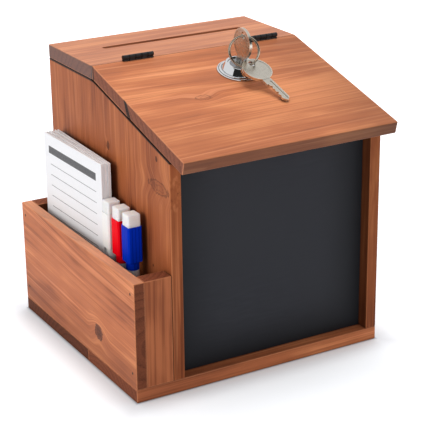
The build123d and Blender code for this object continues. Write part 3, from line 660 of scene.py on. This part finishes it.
def card_paper():
    """White card with a grey bar and ruled lines printed on the side that faces out."""
    graph = Graph("card_paper")
    parts = graph.places()
    below = graph.math("SUBTRACT", card_top, parts[2])
    tooth = graph.noise(graph.scaled(parts, (1.6, 1.6, 1.6), 3.0), detail=4, roughness=0.7)
    front = graph.span(graph.facing(-along_x), 0.8, 0.9)
    bar = graph.times(
        graph.within(below, *bar_rows, 0.12), graph.within(parts[1], *bar_span, 0.12), front,
    )
    from_half = graph.add(below, line_pitch / 2 - first_line)
    phase = graph.math("FRACT", graph.math("DIVIDE", from_half, line_pitch))
    off_line = graph.times(graph.math("ABSOLUTE", graph.math("SUBTRACT", phase, 0.5)), line_pitch)
    rows = graph.within(below, first_line - 2, first_line + line_pitch * (line_count - 0.5), 0.5)
    line = graph.times(
        graph.span(off_line, line_half_width - 0.1, line_half_width + 0.1, 1.0, 0.0),
        rows, graph.within(parts[1], *line_span, 0.2), front,
    )
    colour = graph.shade(rgba(PAPER), graph.span(tooth, 0.3, 0.7, 0.97, 1.02))
    ink = graph.span(tooth, 0.3, 0.7, 0.86, 1.0)
    colour = graph.mix(graph.times(line, ink), colour, rgba(LINE_GREY))
    colour = graph.mix(graph.times(bar, ink), colour, rgba(PRINT_GREY))
    graph.set(Base_Color=colour, Roughness=graph.span(tooth, 0.3, 0.7, 0.62, 0.8))
    graph.fix("Specular IOR Level", 0.25)
    graph.bump(tooth, 0.15, 0.00005)
    return graph


def mesh_object(name, build, body, replaced, smooth=True):
    """An object that build makes, riding on a body and standing for a CAD node."""
    mesh = bpy.data.meshes.new(name)
    shape = bmesh.new()
    build(shape)
    bmesh.ops.recalc_face_normals(shape, faces=shape.faces)
    shape.to_mesh(mesh)
    shape.free()
    for polygon in mesh.polygons:
        polygon.use_smooth = smooth
    piece = bpy.data.objects.new(name, mesh)
    bpy.context.scene.collection.objects.link(piece)
    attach(piece, body)
    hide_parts(replaced)
    return piece


def split_ring(shape):
    """Two turns of oval wire, side by side, with a step where one turn passes to the other."""
    across = ring_axis.cross(along_z).normalized()
    upward = ring_axis.cross(across)
    steps, sides = 192, 14
    loops = []
    for step in range(steps + 1):
        angle = 4 * math.pi * step / steps
        ease = min(1.0, max(0.0, (angle - 2 * math.pi) / 0.7 + 0.5))
        offset = turn_offset * (2 * ease * ease * (3 - 2 * ease) - 1)
        outward = across * math.cos(angle + 2.4) + upward * math.sin(angle + 2.4)
        middle = ring_centre + (outward * ring_mean_radius + ring_axis * offset) * MM
        loop = []
        for side in range(sides):
            turn = 2 * math.pi * side / sides
            radial = outward * wire_radial_radius * math.cos(turn)
            axial = ring_axis * wire_axial_radius * math.sin(turn)
            loop.append(shape.verts.new(middle + (radial + axial) * MM))
        loops.append(loop)
    for first, second in zip(loops, loops[1:]):
        for side in range(sides):
            after = (side + 1) % sides
            shape.faces.new((first[side], first[after], second[after], second[side]))
    shape.faces.new(loops[0])
    shape.faces.new(loops[-1])


def trim_collar(shape):
    """The stepped and grooved collar, turned round the lock's axis."""
    centre = Vector(joints["lock_turn"]["pos_m"])
    centre += lid_normal * (reach("lock_trim_collar", lid_normal)[0] * MM - centre.dot(lid_normal))
    upward = lid_normal.cross(along_x)
    sides = 96
    loops = []
    for side in range(sides):
        turn = 2 * math.pi * side / sides
        outward = along_x * math.cos(turn) + upward * math.sin(turn)
        loops.append([
            shape.verts.new(centre + (outward * radius + lid_normal * height) * MM)
            for radius, height in collar_profile
        ])
    for side in range(sides):
        first, second = loops[side], loops[(side + 1) % sides]
        for point in range(len(collar_profile)):
            after = (point + 1) % len(collar_profile)
            shape.faces.new((first[point], first[after], second[after], second[point]))


def sheet_plane(name, centre, width, height, toward):
    """A flat sheet of the stage, turned toward a point."""
    mesh = bpy.data.meshes.new(name)
    x, y = width / 2, height / 2
    mesh.from_pydata([(-x, -y, 0), (x, -y, 0), (x, y, 0), (-x, y, 0)], [], [(0, 1, 2, 3)])
    sheet = bpy.data.objects.new(name, mesh)
    sheet.location = centre
    sheet.rotation_euler = (Vector(toward) - Vector(centre)).to_track_quat("Z", "Y").to_euler()
    bpy.context.scene.collection.objects.link(sheet)
    return sheet


# Boards of the case: grain, broad side, pith, ring spacing and a seed for each board
wood("top_board", along_x, along_z, (-60, -46), 6.0, 1.7, lean=0.04, tone=0.97, contrast=0.6,
     rings=0.2, warmth=-0.3, end_tone=0.5, shine=0.9, end_gaps=(-along_y,))
wood("lid_upper_board", along_x, lid_normal, (60, -40), 6.5, 12.4, lean=-0.03, tone=1.10,
     contrast=0.65, warmth=-0.3, rings=0.15, wander=5, end_tone=0.85, shine=0.25,
     bands=((21.0, 30.0, 0.88),), fades=((0, 0.0, 100.0, 0.72),),
     end_gaps=(along_y, upper_joint_face))
wood("lid_lower_board", along_x, lid_normal, (70, -52), 6.0, 23.9, lean=0.03, tone=1.0,
     contrast=0.65, warmth=-0.3, rings=0.12, wander=6, edge_light_and_shade=0.45, end_tone=0.85, shine=0.25,
     fades=((0, 20.0, 110.0, 0.66), (1, -20.0, 30.0, 1.12)), end_gaps=(lower_joint_face,),
     knots=((-34.0, 33.0, 3.7, 0.06, 0, 1.6),))
wood("left_side_panel", along_z, -along_x, (30, -70), 5.5, 31.2, lean=0.02, tone=0.74,
     contrast=0.9, rings=0.15, wander=4, edge_light_and_shade=1.05, gaps=(along_z, lid_normal), warmth=0.9,
     crevice_shade_reach=9.0,
     knots=((57.8, -2.4, 2.2, 0.8, 0, 1.4), (69.5, -84.6, 1.4, 0.9, 0, 1.3),
            (47.5, -87.5, 4.6, 0.17, 88, 3.0), (-19.5, -74.8, 1.0, 0.8, 0, 1.2)))
wood("right_side_panel", along_z, along_x, (-40, -60), 5.5, 44.6, lean=0.03, tone=0.74, rings=0.2,
     edge_light_and_shade=0.85, gaps=(along_z, lid_normal), inner_painted_shade=0.38, warmth=1.0)
wood("back_panel", along_z, along_y, (-20, -50), 6.5, 52.3, lean=0.06, tone=0.84, rings=0.2)
wood("pocket_panel", along_y, -along_x, (16, -10), 9.5, 61.8, lean=-0.085, tone=1.05,
     contrast=0.8, rings=0.3, wander=22, edge_light_and_shade=1.3, whitish_edge=0.5, end_tone=0.76,
     inner_painted_shade=0.35, shine=0.14, fades=((1, 5.0, 45.0, 0.76),), warmth=0.2,
     knots=((-40.3, 20.9, 5.4, 0.97, 160, 1.15),))
wood("pocket_front_block", along_z, -along_y, (30, -30), 4.0, 75.1, tone=1.05, rings=0.3)
wood("pocket_rear_block", along_z, along_y, (30, -30), 4.0, 83.4, tone=0.95, inner_painted_shade=0.35,
     crevice_shade_reach=9.0)
wood("base_front_board", along_x, along_z, (30, -40), 5.0, 91.0, rings=0.2, edge_light_and_shade=1.15,
     end_tone=0.82)
wood("base_rear_board", along_x, along_z, (-30, -40), 5.0, 98.5, tone=0.85, rings=0.2,
     end_tone=0.45)
wood("lock_rail", along_x, lid_normal, (20, -30), 4.0, 107.2, tone=0.85)
black_board()

# Metal parts
for hinge in ("left_hinge", "right_hinge"):
    black = lacquer(hinge)
    for part in ("fixed_leaf", "moving_leaf", "pin"):
        give(f"{hinge}_{part}", black)
        soften(f"{hinge}_{part}", 0.12)
steel = metal("zinc_steel", (0.56, 0.56, 0.58), 0.32, scratched=0.1, wear=0.5)
for name in ("hinge_screws_top", "hinge_screws_lid", "strike_plate", "strike_screws", "lock_nut",
             "lock_cam", "cam_washer", "cam_screw"):
    give(name, steel)
brad_steel = metal("brad_steel", (0.10, 0.065, 0.05), 0.6, scratched=0.1, wear=0.6)
give("pocket_brads", brad_steel)
chrome = metal("polished_chrome", (0.80, 0.81, 0.83), 0.05)
plug_chrome = metal("plug_chrome", (0.30, 0.30, 0.32), 0.16)
collar = mesh_object(
    "stepped_collar", trim_collar, "lid", "lock_trim_collar", smooth=False,
)
give(collar, chrome)
for name, finish in (("lock_housing", chrome), ("lock_plug", plug_chrome)):
    give(name, finish)
    soften(name, 0.2, angle=40)
nickel = metal("key_nickel", (0.62, 0.58, 0.51), 0.24, wear=0.25, rim=0.6)
for name in ("key_in_lock", "spare_key"):
    give(name, nickel)
    soften(name, 0.15)
ring = mesh_object("split_ring", split_ring, "ring", "key_ring")
give(ring, metal("ring_steel", (0.46, 0.39, 0.31), 0.16, wear=0.5))

# Paper and markers
cards = mesh_object("fanned_cards", fanned_cards, "cards", "card_stack", smooth=False)
give(cards, card_paper())
give("lid_dowels", plastic("dowel_wood", (0.60, 0.42, 0.25), roughness=0.7))
eraser_felt = felt("pressed_felt", (0.98, 0.965, 0.93))
barrel_plastic = plastic("barrel_plastic", (0.62, 0.63, 0.65))
for colour, shade, rib_shade in (
    ("blue", (0.0004, 0.032, 0.56), 0.55), ("red", (0.98, 0.001, 0.010), 0.25),
    ("white", (0.98, 0.97, 0.95), 0.06),
):
    cap_plastic = plastic(
        f"{colour}_plastic", shade, roughness=0.33, subsurface=0.05, shine=0.03, rib_shade=rib_shade,
    )
    give(f"{colour}_cap", cap_plastic)
    soften(f"{colour}_cap", 0.35, angle=50)
    give(f"{colour}_barrel", barrel_plastic)
    give(f"{colour}_nib", felt(f"{colour}_ink_felt", tuple(part * 0.4 for part in shade)))
    give(f"{colour}_eraser", eraser_felt)


# Stage: strength of the surroundings as a light, and as they are seen
ambient_strength = 0.30
shown_strength = 1.0


def seen_directly(tree):
    """One for rays from the camera, from gloss and through glass, in a node tree."""
    path = tree.nodes.new("ShaderNodeLightPath")
    total = path.outputs["Is Camera Ray"]
    for kind in ("Is Glossy Ray", "Is Transmission Ray"):
        larger = tree.nodes.new("ShaderNodeMath")
        larger.operation = "MAXIMUM"
        tree.links.new(total, larger.inputs[0])
        tree.links.new(path.outputs[kind], larger.inputs[1])
        total = larger.outputs[0]
    return total


def surroundings():
    """White surroundings that light the object softly."""
    world = bpy.data.worlds.new("studio")
    bpy.context.scene.world = world
    world.use_nodes = True
    tree = world.node_tree
    tree.nodes.clear()
    light = tree.nodes.new("ShaderNodeBackground")
    light.inputs["Strength"].default_value = ambient_strength
    shown = tree.nodes.new("ShaderNodeBackground")
    shown.inputs["Strength"].default_value = shown_strength
    choose = tree.nodes.new("ShaderNodeMixShader")
    out = tree.nodes.new("ShaderNodeOutputWorld")
    tree.links.new(seen_directly(tree), choose.inputs[0])
    tree.links.new(light.outputs[0], choose.inputs[1])
    tree.links.new(shown.outputs[0], choose.inputs[2])
    tree.links.new(choose.outputs[0], out.inputs["Surface"])


def stage_floor():
    """A pale floor that stays white far out, and keeps the object's shadow, with a painted shadow
    round the base, darkest where the base rests on it."""
    floor = sheet_plane("floor", (0, 0, 0), 12.0, 12.0, (0, 0, 1))
    paper = Graph("floor_paper")
    parts = paper.places()
    base_halves = [corner / MM for corner in cad_box[1][:2]]
    fleck = paper.noise(paper.scaled(parts, (0.2, 0.2, 0.2), 1.0), detail=3)
    outside = [
        paper.math("SUBTRACT", paper.math("ABSOLUTE", part), half)
        for part, half in zip(parts, base_halves)
    ]
    far = paper.math("MAXIMUM", *outside)
    tint = paper.shade(rgba((0.77, 0.80, 0.85)), paper.span(fleck, 0.3, 0.7, 0.99, 1.0))
    # A painted contact shadow: the floor's colour darkens where the base rests on it
    paper.set(Base_Color=paper.shade(tint, paper.span(far, -2.0, 2.5, 0.3, 1.0)), Roughness=0.9)
    paper.fix("Specular IOR Level", 0.2)
    # The glow is lowered near the base as a painted shadow, and raised far out so the floor stays
    # white
    level = paper.add(
        paper.span(far, -5.0, 28.0, 0.16, 0.46), paper.span(far, 60.0, 800.0, 0.0, 0.42),
        paper.span(far, -2.0, 3.0, -0.16, 0.0),
    )
    strength = paper.times(level, seen_directly(paper.tree))
    glow = paper.node("Emission", (1, 1, 1, 1), strength)
    both = paper.node("AddShader", paper.shader.outputs[0], glow.outputs[0])
    paper.put(paper.tree.nodes["Material Output"].inputs["Surface"], both.outputs[0])
    floor.data.materials.append(paper.material)


def reflection_card(name, centre, width, height, level):
    """A card that only reflections see."""
    card = sheet_plane(name, centre, width, height, (0, 0, 0.15))
    graph = Graph(name)
    glow = graph.node("Emission", (level, level, level, 1), 1.0)
    graph.put(graph.tree.nodes["Material Output"].inputs["Surface"], glow.outputs[0])
    card.data.materials.append(graph.material)
    card.visible_camera = False
    card.visible_diffuse = False
    card.visible_shadow = False
    card.visible_transmission = False
    card.visible_volume_scatter = False


def lamp(name, place, size, power, colour):
    light = bpy.data.lights.new(name, "AREA")
    light.size = size
    light.energy = power
    light.color = colour
    holder = bpy.data.objects.new(name, light)
    holder.location = place
    holder.visible_glossy = False
    aim = Vector((0, 0, 0.1)) - Vector(place)
    holder.rotation_euler = aim.to_track_quat("-Z", "Y").to_euler()
    bpy.context.scene.collection.objects.link(holder)


def photo_camera():
    camera = bpy.data.cameras.new("photo_camera")
    camera.sensor_width = sensor_width
    camera.lens = photo_focal_pixels * sensor_width / photo_pixels
    camera.clip_start, camera.clip_end = 0.05, 50
    eye = bpy.data.objects.new("photo_camera", camera)
    turn = (
        Matrix.Rotation(math.radians(-camera_heading), 4, "Z")
        @ Matrix.Rotation(math.radians(90 - camera_pitch), 4, "X")
        @ Matrix.Rotation(math.radians(camera_roll), 4, "Z")
    )
    eye.matrix_world = Matrix.Translation(camera_place) @ turn
    bpy.context.scene.collection.objects.link(eye)
    bpy.context.scene.camera = eye


surroundings()
stage_floor()
reflection_card("dark_card_left", (-1.25, -2.15, 1.25), 4.0, 2.2, 0.02)
reflection_card("dark_card_right", (1.45, -2.0, 1.25), 2.2, 2.2, 0.02)
lamp("top_light", (0.30, 0.25, 1.95), 1.2, 26, (1, 0.99, 0.98))
lamp("left_light", (-2.0, 0.1, 0.85), 1.3, 22, (1, 0.99, 0.98))
lamp("front_light", (-0.7, -2.3, 0.7), 1.2, 12, (1, 1, 1))
lamp("right_light", (2.2, -0.8, 0.9), 0.9, 4, (1, 1, 1))
photo_camera()
bpy.context.scene.view_settings.view_transform = "Standard"
